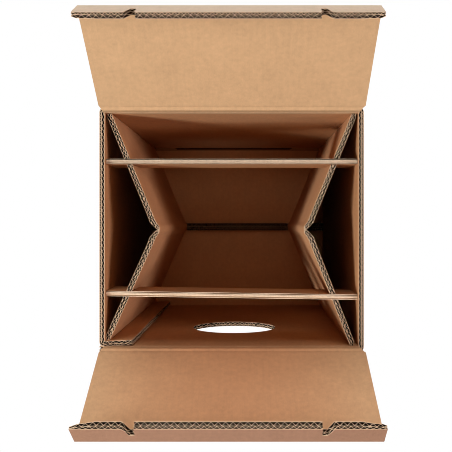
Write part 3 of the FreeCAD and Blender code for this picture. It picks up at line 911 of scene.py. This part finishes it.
def build_creases(where):
    """The crease of a flap and the fold of its lip, each on both faces of the board."""
    side = SIDE[where]
    on_flap, on_lip = flap_place(where), lip_place(where)

    def flap_point(v, t):
        """A point on the flap in Y and Z: v from the crease, t below the outer face."""
        return on_flap(0.0, t, v)[1:]

    def lip_point(v, t):
        """A point on the lip in the same way: v from its fold."""
        return on_lip(0.0, t, v)[1:]

    def flap_reach(v):
        """From edge to edge of the flap, past the cut corners."""
        share = min(max(v / CORNER_LENGTH, 0.0), 1.0)
        return tuple(
            hand * (CREASE_HALF + share * (CREASE_INSET - edge_inset(where, hand, v)))
            for hand in (-1, 1)
        )

    straight = (-CREASE_HALF, CREASE_HALF)
    inner = [
        (side * (HALF_Y + SUNK), RIM - 16),
        (side * (HALF_Y - SKIN), RIM - 12),
        (side * (HALF_Y - SKIN), RIM - 4),
        (side * (HALF_Y + 0.2), RIM + 1),
        (side * (HALF_Y + 0.5), RIM + 6),
        flap_point(-0.5, BOARD + 0.45),
        flap_point(1.0, BOARD + 0.4),
        flap_point(4.0, BOARD - 0.6),
        flap_point(7.0, BOARD + SKIN),
        flap_point(15.0, BOARD + SKIN),
        flap_point(19.0, BOARD - SUNK),
    ]
    reach = [straight] * 6 + [flap_reach(v) for v in (1, 4, 7, 15, 19)]
    start, end = (side * HALF_Y, RIM - 1), flap_point(11, BOARD)
    strip(
        f"crease_{where}_inner", inner, reach, STRIP_THICK * side, start, end,
        INNER_FACE, FLAP_SET[where], closed=3.4 * side,
    )
    outer = [
        (side * (OUTER_Y - SUNK), RIM - 6),
        (side * (OUTER_Y + SKIN), RIM - 4),
        (side * (OUTER_Y + SKIN), RIM + 4.5),
        (side * (OUTER_Y + 0.45), RIM + 7.0),
        flap_point(2.5, -SKIN),
        flap_point(10.0, -SKIN),
        flap_point(12.0, SUNK),
    ]
    reach = [straight] * 4 + [flap_reach(v) for v in (2.5, 10, 12)]
    start, end = (side * OUTER_Y, RIM + 3), flap_point(4, 0)
    strip(
        f"crease_{where}_outer", outer, reach, -STRIP_THICK * side, start, end,
        OUTER_FACE, FLAP_SET[where], closed=-3.0 * side,
    )

    reach = [flap_reach(FLAP_LENGTH)] * 8
    outer = [
        flap_point(FLAP_LENGTH - 12, SUNK),
        flap_point(FLAP_LENGTH - 9, -SKIN),
        flap_point(FLAP_LENGTH - 2.2, -SKIN),
        flap_point(FLAP_LENGTH - 0.5, 0.25),
        lip_point(0.5, 0.25),
        lip_point(2.2, -SKIN),
        lip_point(7.0, -SKIN),
        lip_point(10.0, SUNK),
    ]
    start, end = flap_point(FLAP_LENGTH - 3, 0), lip_point(3, 0)
    strip(
        f"fold_{where}_outer", outer, reach, -STRIP_THICK * side, start, end,
        OUTER_FACE, LIP_SET[where],
    )
    inner = [
        flap_point(FLAP_LENGTH - 17, BOARD - SUNK),
        flap_point(FLAP_LENGTH - 15, BOARD + SKIN),
        flap_point(FLAP_LENGTH - 8.5, BOARD + SKIN),
        flap_point(FLAP_LENGTH - 6.0, BOARD - 1.5),
        lip_point(6.0, BOARD - 1.5),
        lip_point(8.5, BOARD + SKIN),
        lip_point(12.5, BOARD + SKIN),
        lip_point(14.5, BOARD - SUNK),
    ]
    start, end = flap_point(FLAP_LENGTH - 8, BOARD), lip_point(8, BOARD)
    strip(
        f"fold_{where}_inner", inner, reach, STRIP_THICK * side, start, end,
        INNER_FACE, FLAP_SET[where],
    )


build_box()
build_low_slit()
build_foot_crease()
for where in ("front", "back"):
    build_flap(where)
    build_lip(where)
    build_strap(where)
    build_creases(where)
for where in ("left", "right"):
    build_insert(where)


# Floor, light and camera


def white_to_camera(tree, plain, kind):
    """Makes a shader look plain white to the camera and be itself to everything else."""
    nodes, links = tree.nodes, tree.links
    path = nodes.new("ShaderNodeLightPath")
    mix = nodes.new("ShaderNodeMixShader")
    white = nodes.new(kind)
    white.inputs["Color"].default_value = (1, 1, 1, 1)
    white.inputs["Strength"].default_value = 1.0
    links.new(path.outputs["Is Camera Ray"], mix.inputs["Fac"])
    links.new(plain.outputs[0], mix.inputs[1])
    links.new(white.outputs[0], mix.inputs[2])
    return mix


floor_mesh = bpy.data.meshes.new("floor")
floor_mesh.from_pydata([(-6, -6, 0), (6, -6, 0), (6, 6, 0), (-6, 6, 0)], [], [(0, 1, 2, 3)])
floor = bpy.data.objects.new("floor", floor_mesh)
floor.location.z = -0.0005
bpy.context.scene.collection.objects.link(floor)
pale = bpy.data.materials.new("pale_floor")
pale.use_nodes = True
pale.node_tree.nodes.clear()
diffuse = pale.node_tree.nodes.new("ShaderNodeBsdfDiffuse")
diffuse.inputs["Color"].default_value = (0.85, 0.85, 0.85, 1)
surface = pale.node_tree.nodes.new("ShaderNodeOutputMaterial")
mixed = white_to_camera(pale.node_tree, diffuse, "ShaderNodeEmission")
pale.node_tree.links.new(mixed.outputs[0], surface.inputs["Surface"])
floor_mesh.materials.append(pale)

world = bpy.data.worlds.new("studio")
bpy.context.scene.world = world
world.use_nodes = True
world.node_tree.nodes.clear()
ambient = world.node_tree.nodes.new("ShaderNodeBackground")
ambient.inputs["Color"].default_value = (1.0, 1.0, 1.0, 1)
ambient.inputs["Strength"].default_value = 0.01
sky = world.node_tree.nodes.new("ShaderNodeOutputWorld")
mixed = white_to_camera(world.node_tree, ambient, "ShaderNodeBackground")
world.node_tree.links.new(mixed.outputs[0], sky.inputs["Surface"])


def place_lamp(name, data, position, direction):
    lamp = bpy.data.objects.new(name, data)
    lamp.location = position
    lamp.rotation_euler = Vector(direction).to_track_quat("-Z", "Y").to_euler()
    bpy.context.scene.collection.objects.link(lamp)


WHITE = (1.0, 1.0, 1.0)
BOX_MIDDLE = np.array((0.0, 0.0, 0.45))
# Name, place, size, watts and colour of each square lamp, all aimed at the middle of the box
AREA_LAMPS = (
    ("key", (-1.9, -0.9, 2.3), 0.7, 64, (1.0, 0.99, 0.98)),
    ("right", (1.9, -0.1, 1.9), 0.9, 26, (1.1, 0.94, 0.94)),
    ("front", (0.2, -2.0, 1.8), 0.9, 6, WHITE),
    ("back", (-0.2, 2.0, 1.9), 0.9, 8, WHITE),
    ("back_low", (-0.2, 2.2, 1.2), 0.6, 27, WHITE),
    ("top", (0.02, 0.01, 2.9), 1.8, 7.5, (1.0, 0.55, 0.32)),
)
for name, position, size, watts, colour in AREA_LAMPS:
    data = bpy.data.lights.new(name, "AREA")
    data.shape = "SQUARE"
    data.size = size
    data.energy = watts
    data.color = colour
    place_lamp(name, data, position, BOX_MIDDLE - np.array(position))

# A soft pool of light on the back half of the floor
pool = bpy.data.lights.new("pool", "SPOT")
pool.energy = 6
pool.spot_size = math.radians(26)
pool.spot_blend = 0.8
pool.shadow_soft_size = 0.12
place_lamp("pool", pool, (0.0, 0.34, 2.1), (0.0, -0.03, -1.5))

# The camera looks straight down from above the rim; the shifts stand for the picture's crop
CAMERA_X, CAMERA_Y = 0.02184, 0.01083
CAMERA_ABOVE_RIM = 0.96608
camera_data = bpy.data.cameras.new("camera")
camera_data.lens = 61.66
camera_data.sensor_width = 36
camera_data.shift_x = -0.0511
camera_data.shift_y = -0.0113
camera_data.clip_end = 50
camera = bpy.data.objects.new("camera", camera_data)
camera.location = (CAMERA_X, CAMERA_Y, RIM * MM + CAMERA_ABOVE_RIM)
camera.rotation_euler = (0, 0, 0)
bpy.context.scene.collection.objects.link(camera)
bpy.context.scene.camera = camera
bpy.context.scene.view_settings.view_transform = "Standard"
bpy.context.scene.cycles.pixel_filter_type = "BLACKMAN_HARRIS"
bpy.context.scene.cycles.filter_width = 0.9
